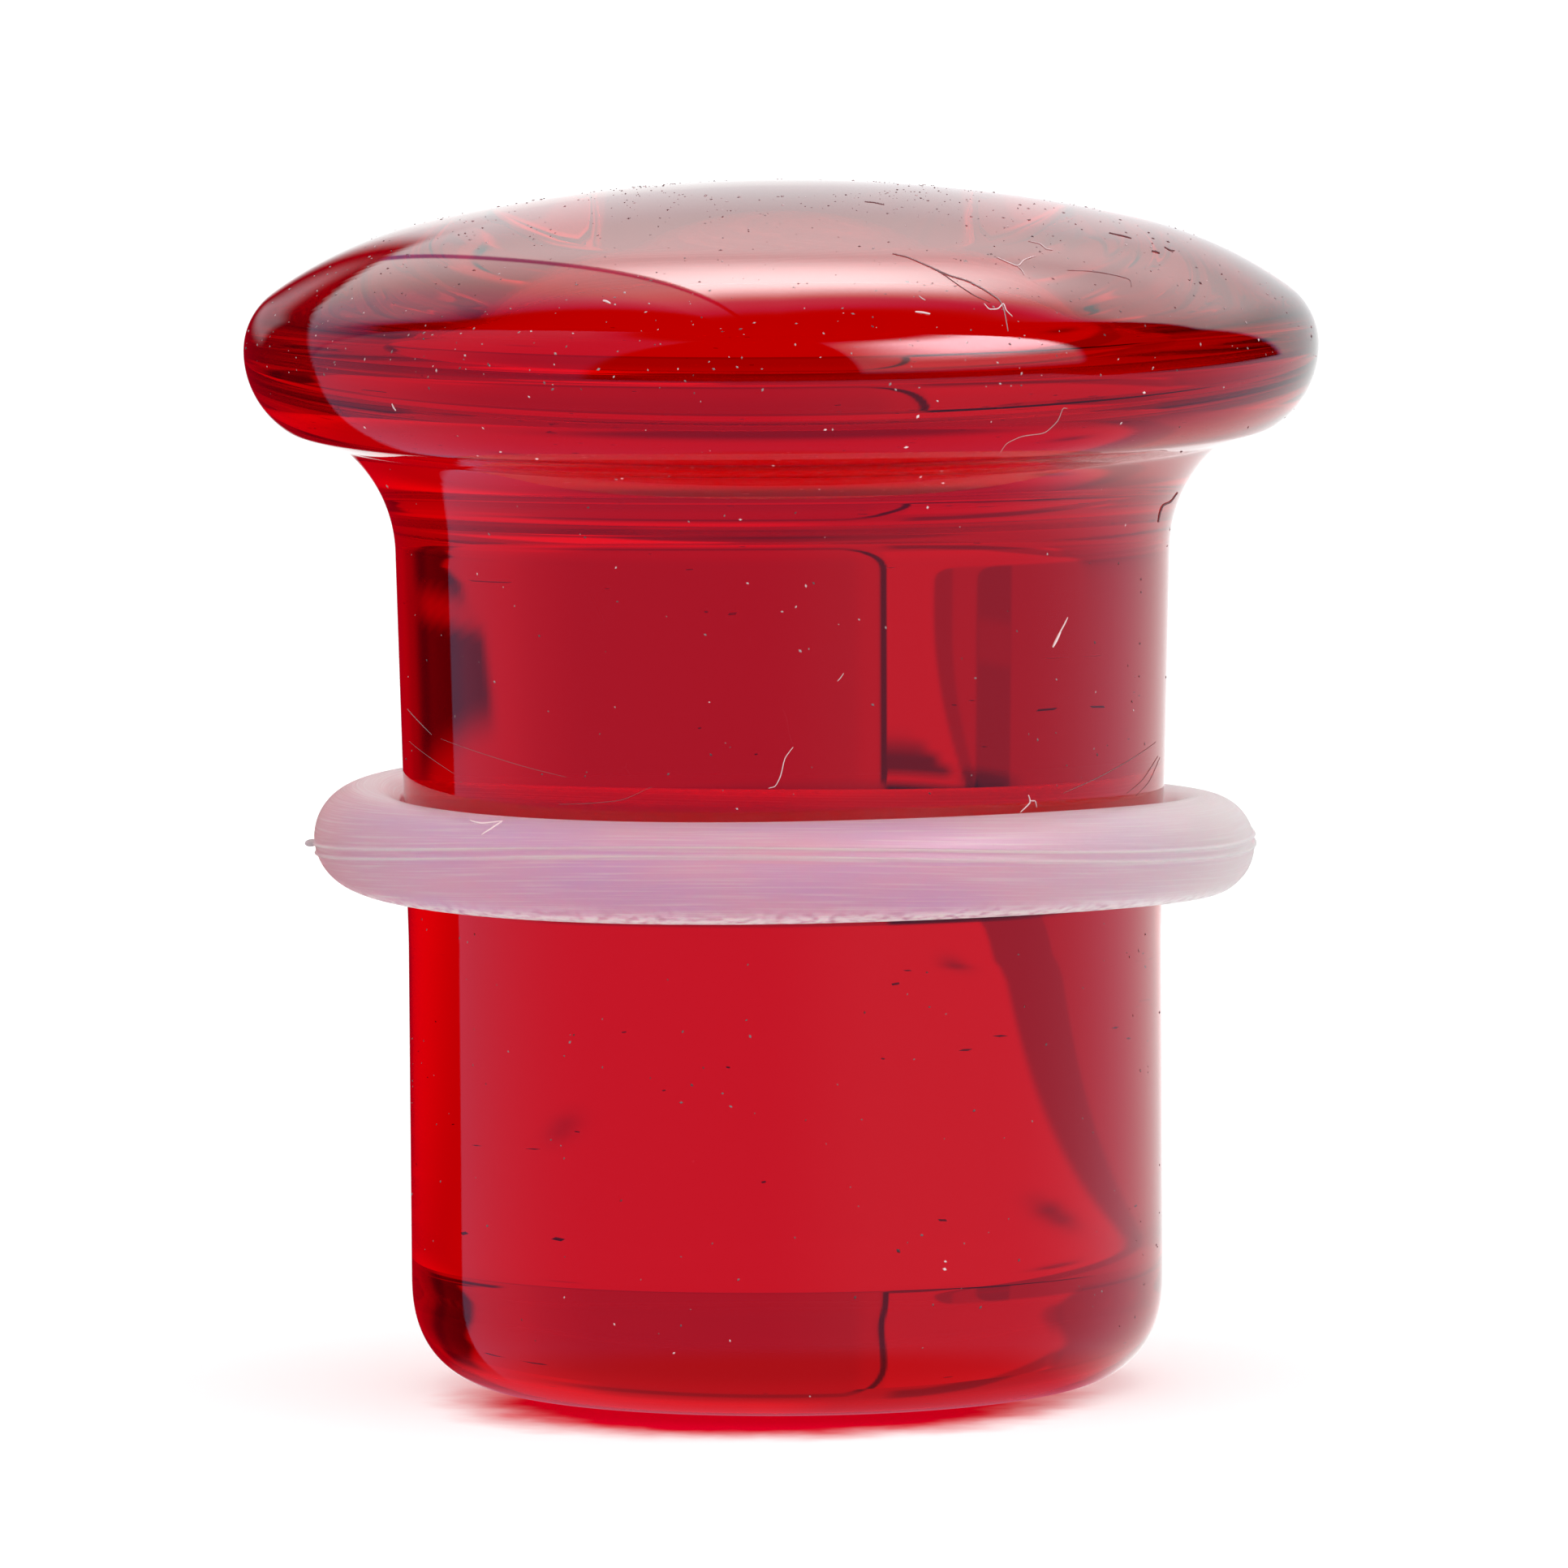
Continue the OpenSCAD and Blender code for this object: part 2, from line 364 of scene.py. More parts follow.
# Dust and lint: fibres and specks that cling to the polished glass, as on any plug that has been
# handled. Each lies on the surface and stands proud of it by less than a hair's thickness.
def on_glass(x, z, side):
    """Points on the glass with the given x and height, in front where side is -1 and behind where
    it is 1, and the directions in which the surface faces there: y is what the radius at that
    height leaves over for that x."""
    steep = np.gradient(body, axis=0)
    radius = np.interp(z, body[:, 1], body[:, 0])
    turn = side * np.arccos(np.clip(x / radius, -1, 1))
    radius = radius - out_of_round(turn, z)
    up, out = np.interp(z, body[:, 1], steep[:, 1]), np.interp(z, body[:, 1], steep[:, 0])
    facing = np.c_[up * np.cos(turn), up * np.sin(turn), -out]
    facing /= np.linalg.norm(facing, axis=1, keepdims=True)
    return np.c_[radius * np.cos(turn), radius * np.sin(turn), z], facing


def on_ring(turn, section):
    """Points on the silicone ring, at angles in degrees round the barrel, with the front at -90,
    and round the cord, with the top at 90, and the directions in which the surface faces there."""
    turn, section = np.radians(turn), np.radians(section)
    facing = np.c_[np.cos(section) * np.cos(turn), np.cos(section) * np.sin(turn), np.sin(section)]
    middle = np.c_[cord_x * np.cos(turn), cord_x * np.sin(turn), ring_lie(turn)]
    return middle + (cord_r - line_h) * facing, facing


def fibre(x, z, thick, place, sides=5):
    """A fibre along a path on the surface that place gives, as points and faces. The path is read
    six times between its given points and rounded off by averaging neighbours, and a ring of
    points is set round each of its points, across it. It is thinnest at its ends, and its
    thickest part lies a quarter sunk in the surface."""
    reads = 6
    way = np.linspace(0, len(x) - 1, reads * (len(x) - 1) + 1)
    soft = np.array([1, 2, 3, 2, 1]) / 9
    x, z = (np.interp(way, np.arange(len(x)), value) for value in (x, z))
    x[2:-2], z[2:-2] = np.convolve(x, soft, "valid"), np.convolve(z, soft, "valid")
    spine, facing = place(x, z)
    ahead = np.gradient(spine, axis=0)
    ahead /= np.linalg.norm(ahead, axis=1, keepdims=True)
    beside = np.cross(facing, ahead)
    full = thick * (0.45 + 0.55 * np.sin(np.pi * (way + 0.3) / (way[-1] + 0.6)))[:, None, None]
    turn = (np.arange(sides) * 2 * np.pi / sides)[:, None]
    spine = spine + facing * (thick / 2)
    ring = spine[:, None] + full * (beside[:, None] * np.cos(turn) + facing[:, None] * np.sin(turn))
    points = np.vstack([spine[:1], ring.reshape(-1, 3), spine[-1:]])
    return points, turned_faces(len(x), sides)


def specks(x, z, size, spin, side):
    """Small flattened specks on the glass, each with eight faces: six points stand off its middle
    along the surface, across it and away from it. A speck is longer than wide, and flatter."""
    length, flatness = 1.6, 0.7
    middle, facing = on_glass(x, z, side)
    along = np.cross(facing, [0.0, 0.0, 1.0])
    along /= np.linalg.norm(along, axis=1, keepdims=True)
    over = np.cross(facing, along)
    first = along * np.cos(spin)[:, None] + over * np.sin(spin)[:, None]
    second = np.cross(facing, first)
    first, facing = first * length, facing * flatness
    arms = np.stack([first, second, -first, -second, facing, -facing], 1)
    points = middle[:, None] + arms * size[:, None, None]
    faces = np.array([[0, 1, 4], [1, 2, 4], [2, 3, 4], [3, 0, 4], [1, 0, 5], [2, 1, 5], [3, 2, 5], [0, 3, 5]])
    number = 6 * np.arange(len(x))[:, None, None]
    return points.reshape(-1, 3), [(number + faces).reshape(-1, 3)]


# In the picture a fibre or speck looks wider than it is, so the sizes in these tables are taken
# times a share. Specks are turned by a step times their x or their number, so that they differ.
fibre_share, mark_share, spin_step = 0.75, 0.62, 6.0
# Fibres: shade from 0, dark, to 1, white; half thickness; and x and z of the points on their path
fibres = (
    (0.30, 0.014, (1.45, 1.65, 1.93, 2.17, 2.42, 2.62, 2.83, 2.88, 2.92),
     (15.20, 15.16, 15.05, 14.95, 14.88, 14.78, 14.65, 14.52, 14.29)),
    (0.15, 0.009, (1.93, 2.11, 2.26, 2.50, 2.70), (15.05, 14.96, 14.86, 14.71, 14.63)),
    (0.85, 0.012, (2.62, 2.68, 2.80, 2.87, 2.90, 2.98), (14.62, 14.55, 14.55, 14.62, 14.53, 14.46)),
    (0.85, 0.012, (2.80, 2.92, 3.07, 3.15, 3.30), (15.12, 15.07, 15.01, 15.08, 15.11)),
    (0.70, 0.009, (3.07, 3.12, 3.15), (15.01, 14.97, 14.92)),
    (0.75, 0.010, (3.22, 3.37, 3.45, 3.53), (15.26, 15.23, 15.17, 15.16)),
    (0.15, 0.012, (4.28, 4.46, 4.57), (15.26, 15.22, 15.19)),
    (0.10, 0.015, (4.83, 4.88, 4.93), (15.05, 15.04, 15.02)),
    (0.15, 0.012, (5.00, 5.07, 5.13), (15.07, 15.03, 15.02)),
    (0.95, 0.018, (1.73, 1.82, 1.92), (14.55, 14.54, 14.52)),
    (0.65, 0.012, (1.78, 1.82, 1.86), (14.73, 14.70, 14.68)),
    (0.30, 0.008, (3.71, 3.96, 4.16, 4.37, 4.53, 4.54), (14.94, 14.92, 14.89, 14.84, 14.79, 14.71)),
    (0.36, 0.008, (2.81, 2.89, 3.09, 3.39, 3.56, 3.62, 3.68),
     (12.72, 12.85, 12.94, 12.96, 13.12, 13.29, 13.28)),
    (0.20, 0.010, (1.11, 1.24, 1.36), (15.68, 15.67, 15.65)),
    (0.10, 0.016, (5.17, 5.08, 4.97, 4.93, 4.91), (11.79, 11.68, 11.67, 11.57, 11.44)),
    (0.95, 0.022, (-2.28, -2.23, -2.19), (14.69, 14.68, 14.66)),
    (0.75, 0.014, (-5.02, -5.00, -4.97), (13.32, 13.27, 13.23)),
    (0.90, 0.014, (3.70, 3.66, 3.60, 3.55), (10.37, 10.29, 10.19, 10.10)),
    (0.95, 0.024, (3.60, 3.55, 3.50), (10.19, 10.09, 10.00)),
    (0.75, 0.010, (0.12, 0.01, -0.04, -0.11, -0.20), (8.85, 8.71, 8.48, 8.34, 8.32)),
    (0.60, 0.009, (0.78, 0.74, 0.70), (9.80, 9.74, 9.70)),
    (0.85, 0.014, (3.06, 3.20, 3.17), (7.88, 8.00, 8.10)),
    (0.85, 0.012, (3.18, 3.26, 3.28), (8.02, 8.02, 7.93)),
    (0.12, 0.008, (3.63, 4.10, 4.52, 4.87), (8.08, 8.23, 8.39, 8.53)),
    (0.12, 0.007, (4.48, 4.69, 4.90), (7.96, 8.08, 8.33)),
    (0.12, 0.006, (4.60, 4.78, 4.93), (7.90, 8.03, 8.30)),
    (0.26, 0.006, (-4.92, -4.80, -4.59), (9.02, 8.93, 8.77)),
    (0.14, 0.004, (-4.47, -3.87, -3.37, -2.82), (8.74, 8.61, 8.50, 8.40)),
    (0.16, 0.004, (-4.90, -4.63, -4.30), (8.60, 8.47, 8.31)),
    (0.10, 0.005, (-2.92, -2.54, -2.09, -1.71), (8.04, 8.07, 8.13, 8.32)))
# Those on the ring: shade, half thickness, and the angles round the barrel and round the cord
ring_fibres = (
    (1.0, 0.019, (-134.7, -133.2, -132.0, -130.6, -129.4), (66.0, 63.0, 62.0, 66.0, 70.0)),
    (1.0, 0.019, (-129.4, -129.6, -130.0, -130.8), (70.0, 61.0, 53.0, 44.0)))
# Specks big enough to see one by one: shade, half size, x and z
marks = np.array([
    (0.95, 0.034, 1.75, 13.25), (0.95, 0.036, 1.60, 12.84), (0.85, 0.028, 2.08, 12.27),
    (0.75, 0.030, 1.79, 12.37), (0.95, 0.032, 4.68, 13.42), (0.70, 0.028, 4.38, 13.03),
    (0.85, 0.030, 1.88, 11.94), (0.90, 0.026, 0.56, 13.10), (0.70, 0.024, 4.47, 11.49),
    (0.60, 0.022, 3.44, 11.22), (0.70, 0.024, -3.21, 14.32), (0.70, 0.020, -2.67, 14.31),
    (0.60, 0.020, -4.12, 14.26), (0.60, 0.022, -3.24, 13.50), (0.80, 0.028, -3.62, 12.74),
    (0.95, 0.032, -3.15, 12.66), (0.80, 0.026, -2.06, 12.37), (0.75, 0.026, -0.11, 12.61),
    (0.75, 0.026, -0.54, 11.82), (0.65, 0.024, -3.84, 13.06), (0.80, 0.028, -5.39, 12.96),
    (0.60, 0.022, -1.69, 14.67), (0.70, 0.026, 0.30, 10.94), (0.60, 0.022, 0.17, 10.67),
    (0.55, 0.022, -0.01, 10.61), (0.70, 0.022, 4.57, 9.03), (0.70, 0.022, -0.61, 8.05),
    (0.95, 0.034, 2.04, 2.00), (0.85, 0.026, 2.05, 2.10), (0.80, 0.024, -1.48, 0.95),
    (0.80, 0.022, -2.25, 1.30), (0.75, 0.020, -0.75, 1.13), (0.60, 0.020, -2.90, 1.61),
    (0.70, 0.024, 0.28, 0.36), (0.00, 0.040, 1.44, 2.27), (0.05, 0.026, -3.16, 10.22),
    (0.05, 0.036, 5.45, 14.67), (0.10, 0.026, 5.15, 12.91), (0.05, 0.034, 5.19, 12.49),
    (0.15, 0.026, 2.49, 15.51), (0.10, 0.026, 3.52, 14.86), (0.10, 0.026, -5.10, 14.91),
    (0.10, 0.024, -5.19, 14.85), (0.10, 0.026, -4.90, 14.67), (0.10, 0.022, -5.26, 14.65),
    (0.10, 0.024, -4.37, 14.44), (0.05, 0.028, -2.55, 11.54), (0.15, 0.024, -0.90, 15.71),
    (0.15, 0.024, -0.27, 15.71), (0.15, 0.028, -1.04, 14.92), (0.15, 0.022, 0.23, 14.90),
    (0.05, 0.026, 4.38, 10.99), (0.05, 0.028, 4.68, 10.73), (0.05, 0.028, 4.68, 10.56),
    (0.05, 0.028, 4.66, 9.89), (0.05, 0.024, 4.65, 9.46), (0.05, 0.020, 4.50, 9.63),
    (0.05, 0.026, 4.55, 9.15), (0.05, 0.022, 5.02, 9.31), (0.05, 0.030, 4.06, 10.00)])
# The finer dust lies thickest on the dome, where it settles. Behind lies the same again, turned
# half round the plug.
on_dome, dome_top, dome_depth = 640, 15.74, 2.2
on_sides, sides_foot, sides_h = 260, 0.9, 12.6
ring_clear = 0.9
chance = np.random.default_rng(11)
dust_z = np.r_[dome_top - dome_depth * chance.random(on_dome) ** 1.6,
               sides_foot + sides_h * chance.random(on_sides)]
count = len(dust_z)
widest = np.interp(dust_z, body[:, 1], body[:, 0])
dust_x = widest * np.sin(np.pi * 0.94 * (chance.random(count) - 0.5))
dust_shade = np.clip(0.30 + 0.2 * chance.standard_normal(count), 0.05, 0.7) * np.where(dust_z < 9, 0.4, 1)
dust_size = 0.008 + 0.011 * chance.random(count) ** 2
kept = np.flatnonzero(np.abs(dust_z - ring_z) > ring_clear)
dust_x, dust_side = np.r_[dust_x[kept], -dust_x[kept]], np.repeat([-1, 1], len(kept))
dust_z, dust_size, dust_shade, dust_spin = np.tile(
    [dust_z[kept], dust_size[kept], dust_shade[kept], spin_step * kept], 2)
pieces = [fibre(np.array(x), np.array(z), thick * fibre_share, lambda x, z: on_glass(x, z, -1))
          for shade, thick, x, z in fibres]
pieces += [fibre(np.array(turn), np.array(section), thick * fibre_share, on_ring)
           for shade, thick, turn, section in ring_fibres]
shades = [np.full(len(points), row[0]) for (points, faces), row in zip(pieces, fibres + ring_fibres)]
pieces.append(specks(marks[:, 2], marks[:, 3], marks[:, 1] * mark_share, spin_step * marks[:, 2], -1))
pieces.append(specks(dust_x, dust_z, dust_size, dust_spin, dust_side))
shades += [np.repeat(marks[:, 0], 6), np.repeat(dust_shade, 6)]
starts = np.cumsum([0] + [len(points) for points, faces in pieces])
lint = make_mesh("dust_and_lint", np.vstack([points for points, faces in pieces]),
                 *(rows + start for (points, faces), start in zip(pieces, starts) for rows in faces))
lint.data.attributes.new("shade", "FLOAT", "POINT").data.foreach_set("value", np.concatenate(shades))
# Cotton and house dust are dry and rough, so they have no shine
fluff, tree = new_material("dust and lint")
shade = add(tree, "ShaderNodeAttribute", attribute_name="shade")
colour = add(tree, "ShaderNodeMix", {
    "Factor": shade.outputs["Fac"], 6: linear("#4a2a30"), 7: linear("#e8d2d4")}, data_type="RGBA")
surface = add(tree, "ShaderNodeBsdfPrincipled", {"Base Color": colour.outputs[2], "Roughness": 0.9})
add(tree, "ShaderNodeOutputMaterial", {"Surface": surface.outputs[0]})
lint.data.materials.append(fluff)
lint.visible_shadow = False
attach(lint, "root")

# The floor: a wide sheet of matt white card that runs past the picture on every side. Where the
# plug stands on it, a red glow is painted into its colour, as painted light for the light that
# came through the glass.
floor_half, floor_drop = 1500, 0.02
corners = [(x * floor_half, y * floor_half, -floor_drop) for x, y in ((-1, -1), (1, -1), (1, 1), (-1, 1))]
floor = make_mesh("white_card", corners, np.array([[0, 1, 2, 3]]))
card, tree = new_material("matt white card")
place = add(tree, "ShaderNodeTexCoord")
# The glow's edge is ragged by up to 1 mm, in patches about 1 mm across
rough = add(tree, "ShaderNodeTexNoise", {"Vector": place.outputs["Object"], "Scale": 900.0, "Detail": 3.0})
# It lies a little in front of the plug, because most of the light comes from behind
from_glow = add(tree, "ShaderNodeVectorMath", {0: place.outputs["Object"], 1: (0.3 * MM, 1.9 * MM, 0.0)})
away = add(tree, "ShaderNodeVectorMath", {0: from_glow.outputs[0]}, operation="LENGTH")
ragged = add(tree, "ShaderNodeMath", {0: rough.outputs[0], 1: 1.0 * MM, 2: away.outputs["Value"]},
             operation="MULTIPLY_ADD")
glow = add(tree, "ShaderNodeMapRange", {
    "Value": ragged.outputs[0], "From Min": 3.5 * MM, "From Max": 5.1 * MM, "To Min": 1.0, "To Max": 0.0},
    interpolation_type="SMOOTHSTEP")
# The white card with the painted red light mixed in
card_and_painted_glow = add(tree, "ShaderNodeMix", {"Factor": glow.outputs[0], 6: linear("#fbfbfb"), 7: linear("#d40027")},
           data_type="RGBA")
surface = add(tree, "ShaderNodeBsdfDiffuse", {"Color": card_and_painted_glow.outputs[2]})
add(tree, "ShaderNodeOutputMaterial", {"Surface": surface.outputs[0]})
floor.data.materials.append(card)
# What the glass mirrors and lets through is the room and the softboxes below, not the card
floor.visible_glossy = False
floor.visible_transmission = False


# The room that shows through the glass: the table to a little way behind the plug, a low wall
# there with panels on it, and above it the far wall and ceiling. Only light that leaves the
# glass meets it. Azimuths are in degrees, with the camera at 0, the right at 90, behind at 180.
def paint(made, name, colour):
    """Stores one linear colour for each point of a mesh, as an attribute of that name."""
    colour = np.concatenate([colour, np.ones((len(colour), 1))], 1)
    made.data.attributes.new(name, "FLOAT_COLOR", "POINT").data.foreach_set("color", colour.ravel())


def ramp(value, start, end):
    """Rises smoothly from 0 at start to 1 at end: three times the square less twice the cube."""
    share = np.clip((value - start) / (end - start), 0, 1)
    return share ** 2 * (3 - 2 * share)


def between(value, low_start, low_end, high_start, high_end):
    """One between two soft edges, and zero outside them."""
    return ramp(value, low_start, low_end) * (1 - ramp(value, high_start, high_end))


def past_corner(across, up, radius):
    """Distance outside a corner rounded to the radius, for points that lie across and up past
    its two straight sides. It is negative inside."""
    reach, rise = across + radius, up + radius
    outside = np.hypot(np.maximum(reach, 0), np.maximum(rise, 0))
    return outside + np.minimum(np.maximum(reach, rise), 0) - radius


def turned_shell(name, azimuth, radius, height, glow, cover=None):
    """A turned shell round the plug's axis that glows with one colour for each grid point: the
    radius times the sine and minus the cosine of the azimuth, and the height, with a point on the
    axis at each end. Where cover falls from one to zero, it turns clear."""
    turn = np.radians(azimuth)
    grid = np.stack([radius * np.sin(turn), -radius * np.cos(turn), height + 0 * radius], -1).reshape(-1, 3)
    points = np.vstack([[[0, 0, height[0, 0]]], grid, [[0, 0, height[-1, 0]]]])
    made = make_mesh(name, points, *turned_faces(*azimuth.shape))
    paint(made, "glow", np.vstack([glow[:1].mean(1), glow.reshape(-1, 3), glow[-1:].mean(1)]))
    light, tree = new_material(name.replace("_", " "))
    colour = add(tree, "ShaderNodeAttribute", attribute_name="glow")
    shine = add(tree, "ShaderNodeEmission", {"Color": colour.outputs["Color"]})
    if cover is not None:
        paint(made, "cover", np.repeat(np.r_[cover[0, 0], cover.ravel(), cover[-1, 0]][:, None], 3, axis=1))
        share = add(tree, "ShaderNodeAttribute", attribute_name="cover")
        clear = add(tree, "ShaderNodeBsdfTransparent")
        shine = add(tree, "ShaderNodeMixShader", {0: share.outputs["Fac"], 1: clear.outputs[0],
                                                  2: shine.outputs[0]})
    add(tree, "ShaderNodeOutputMaterial", {"Surface": shine.outputs[0]})
    # It is only seen by rays that happen on it, and isn't sampled as a lamp
    light.cycles.emission_sampling = "NONE"
    made.data.materials.append(light)
    made.visible_camera = False
    made.visible_diffuse = False
    made.visible_shadow = False
    return made


# Seen from above, the grid's rows run outwards over the table, up the low wall and over the shell
# of the far wall and ceiling. They lie closest where the picture has its finest lines. Upward is
# the angle above the level of the barrel's middle, in degrees.
room_r, wall_h, shell_r = 120, 38, 900
barrel_middle, room_level = 5, 0.97
column = np.r_[np.arange(0, 184, 1.0), np.arange(184, 218, 0.2), np.arange(218, 360, 1.0)]
table_rows = np.r_[np.arange(1, 20, 1.0), np.arange(20, 80, 1.5), np.arange(80, room_r, 1.0)]
wall_rows = np.r_[np.arange(0.1, 8, 0.2), np.arange(8, wall_h, 1.0)]
lift_rows = np.radians(np.arange(16, 89.6, 1.0))
row_r = np.r_[table_rows, np.full(len(wall_rows), room_r), shell_r * np.cos(lift_rows)]
row_z = np.r_[0 * table_rows, wall_rows, shell_r * np.sin(lift_rows)] - floor_drop
azimuth, radius = np.meshgrid(column, row_r)
height = np.meshgrid(column, row_z)[1]
across, deep = radius * np.sin(np.radians(azimuth)), -radius * np.cos(np.radians(azimuth))
upward = np.degrees(np.arctan2(height - barrel_middle, radius))

# The table is a little brighter behind, brightest on the right, and brighter from 12 mm out on the
# left. A brightness of one is that of a white surface in full light.
table = 0.50 + 0.16 * between(azimuth, 100, 160, 230, 300) + 0.65 * between(azimuth, 80, 100, 104, 140)
table += 0.3 * between(azimuth, 250, 262, 275, 295) * ramp(radius, 12, 18)
# Behind on the left lies a shade with a straight side, and it is paler away from that side
shade_x, shade_y, shade_lean = -10, 12, 0.285
side = shade_x - across - shade_lean * (deep - shade_y)
in_shade = ramp(side, -0.6, 0.6) * between(azimuth, 195, 200, 250, 258)
paler_from = 5 + 0.2 * (deep - 26)
table -= in_shade * (0.33 - 0.12 * ramp(side - paler_from, -0.4, 0.4))
# It ends in a slightly curved edge, past which it is darker, and nearly black behind on the left
far_edge = 80.5 - 0.0024 * across ** 2
past_edge = ramp(deep, far_edge - 1.5, far_edge + 1.5)
table += (0.36 - 0.33 * between(azimuth, 189.2, 190.2, 216, 223) - table) * past_edge
# Three soft darker spots on it, each given by its place across and behind, its half sizes and its
# depth
dark_spots = ((-8.7, 19, 0.8, 2.0, 0.42), (-17.6, 59, 1.5, 3.5, 0.36), (12, 30.5, 1.1, 2.0, 0.22))
for spot_x, spot_y, half_x, half_y, depth in dark_spots:
    table -= depth * np.exp(-((across - spot_x) / half_x) ** 2 - ((deep - spot_y) / half_y) ** 2)
# Close to the plug the table lies in the plug's own shade
table *= 0.2 + 0.8 * ramp(radius, 3.7, 6)
table *= 1 - 0.6 * between(azimuth, 140, 160, 205, 215) * (1 - ramp(radius, 9, 15))
table *= 1 - 0.35 * between(azimuth, 205, 225, 285, 300) * (1 - ramp(radius, 13, 20))

# The low wall is grey, in panels, and a little brighter towards its top
low_wall = 0.50 - 0.05 * between(azimuth, 150, 160, 186, 188) + 0.08 * ramp(azimuth, 189.6, 190)
low_wall += 0.05 * between(azimuth, 133, 138, 146, 152) + 0.06 * ramp(height, 15, 38)
# On the right it has a dark wedge, whose rear side runs through these azimuths at these heights,
# and a narrow bright gap runs nearly level through the wedge
slant = np.interp(height, (0.82, 3.82, 4.33, 6.25, 6.65, 16.65, 20, 38),
                  (144.78, 141.78, 138.08, 130.4, 130.4, 133.9, 133.9, 130.3))
from_gap = height - 4.15 - 0.05 * (138 - azimuth)
gap = 1 - 0.85 * between(from_gap, -0.5, -0.1, 0.05, 0.45)
low_wall -= 0.47 * gap * between(azimuth, 112, 123, slant - 1.5, slant + 1.5) * ramp(height, 1.4, 2.5)
low_wall -= 0.25 * between(azimuth, 103, 112, 117, 125)
# Along its foot runs a dark strip behind the plug, with a slanting end, and a paler one beside it
strip_end = np.interp(height, (0, 0.9), (198.8, 192.5))
strip = between(azimuth, 189.4, 189.8, strip_end - 1, strip_end + 1)
low_wall -= 0.46 * strip * between(height, 0.1, 0.2, 0.45, 1.0)
low_wall -= 0.22 * between(azimuth, 197, 199, 203, 208) * (1 - ramp(height, 0.2, 0.45))

# The far wall and the ceiling: a dark post on the right with a bright stretch beside it, a broad
# light high up behind, a strong one above that, and one in front on the right
above = 0.50 + 0.2 * between(azimuth, 118, 128, 150, 160) * (1 - ramp(upward, 26, 30))
above -= 0.55 * between(azimuth, 110, 116, 126, 132) * (1 - ramp(upward, 20, 27))
high = ramp(upward, 22, 31) * (1 - ramp(upward, 64, 70))
above += (0.35 * between(azimuth, 112, 122, 176, 192) + 0.12 * between(azimuth, 185, 190, 235, 250)) * high
above += 0.5 * between(azimuth, 112, 130, 196, 215) * between(upward, 46, 54, 63, 68)
above -= 0.2 * ramp(upward, 64, 72) + 0.12 * ramp(upward, 78, 86)
above += 0.5 * between(azimuth, 12, 22, 70, 88) * between(upward, 36, 44, 62, 70)

on_table = np.arange(len(row_r))[:, None] < len(table_rows)
on_shell = np.arange(len(row_r))[:, None] >= len(table_rows) + len(wall_rows)
walls = np.where(on_shell, above, low_wall)
# Two panels one behind the other on the low wall, each with a rounded upper corner and a darker
# band along its edge. The edge of the first bends outwards below a height of 3.2 mm.
drop = np.clip(3.2 - height, 0, 3.2)
for edge, band, depth, after in ((194.9 + 0.39 * drop ** 2, 2.1 - 0.2 * drop, 0.25, 0.14),
                                 (200.0, 4.7, 0.16, 0.05)):
    inward = -past_corner(edge - azimuth, (height - 9) / 2, 3.0)
    fade = ramp(inward, -0.3, 0.3) * (1 - ramp(azimuth, 262, 275)) * (1 - on_shell)
    walls -= fade * (depth - (depth - after) * ramp(azimuth - edge - band, -0.2, 0.3))
# A thin dark frame line runs up the wall and turns to the right in a rounded corner
frame_line = past_corner(azimuth - 189.6, (upward - 21) / 5, 4.2)
line_level = 0.08 + 0.22 * ramp(upward, 16, 20)
on_line = between(frame_line, -0.5, -0.25, 0.2, 0.4) * between(azimuth, 140, 165, 190, 191)
walls += (line_level - walls) * on_line
# A faint pale mark lies on the second panel
walls += 0.06 * between(azimuth, 200, 200.6, 204.3, 205) * between(height, 2.3, 2.5, 3.1, 3.3)
# On the left the wall is darker from a slanting side on, and so is an arch above the panels
slope = 218 - 5 * ramp(upward, -1, 7)
walls -= 0.24 * between(azimuth, slope - 1, slope + 2, 245, 262) * between(upward, -1, 3, 13, 21)
from_curve = upward - 22.3 + 0.5 * np.clip(azimuth - 195.4, 0, 7.3) + np.clip(azimuth - 202.7, 0, 10)
walls -= 0.26 * between(from_curve, -5, -2, 2.5, 6) * between(azimuth, 190, 193, 211, 216)
seen = np.repeat(room_level * np.where(on_table, table, walls)[..., None], 3, axis=-1)
# Round the foot the table is lit red
lit = on_table * (1 - ramp(np.hypot(across, deep + 1), 3.5, 6.5))
seen += (linear("#7c001a")[:3] - seen) * lit[..., None]
room = turned_shell("room_seen_in_glass", azimuth, radius, height, seen)
room.visible_glossy = False

# The softboxes: an inner dome that only the mirror images in the polished surfaces show. It has
# a key light on the right, a broad one overhead at the back, and dark stretches in between.
column = np.r_[np.arange(-180, -176, 1.0), np.arange(-176, -164, 0.2), np.arange(-164, 180, 1.0)]
azimuth, height = np.meshgrid(column, np.linspace(-89.5, 89.5, 180))
behind = (azimuth + 360) % 360
# The table, which is brighter the further round to the back, and dim straight below
table_edge = 6.6 - 8 * ramp(azimuth, 55, 75)
table = 0.20 + 0.13 * ramp(azimuth, -10, 30) + 0.88 * ramp(azimuth, 72, 175)
table += 0.14 * ramp(-azimuth, 60, 120) + 0.85 * ramp(-azimuth, 168, 176)
table += (0.19 - table) * ramp(-height, 38, 62)
below = 1 - ramp(height, table_edge - 0.5, table_edge + 0.5)
# The wall on the left
left_wall = 0.16 + 0.17 * ramp(-azimuth, 60, 115) + 0.4 * ramp(-azimuth, 112, 135)
left_wall *= ramp(-azimuth, 40, 46) * (1 - ramp(height, 66, 76))
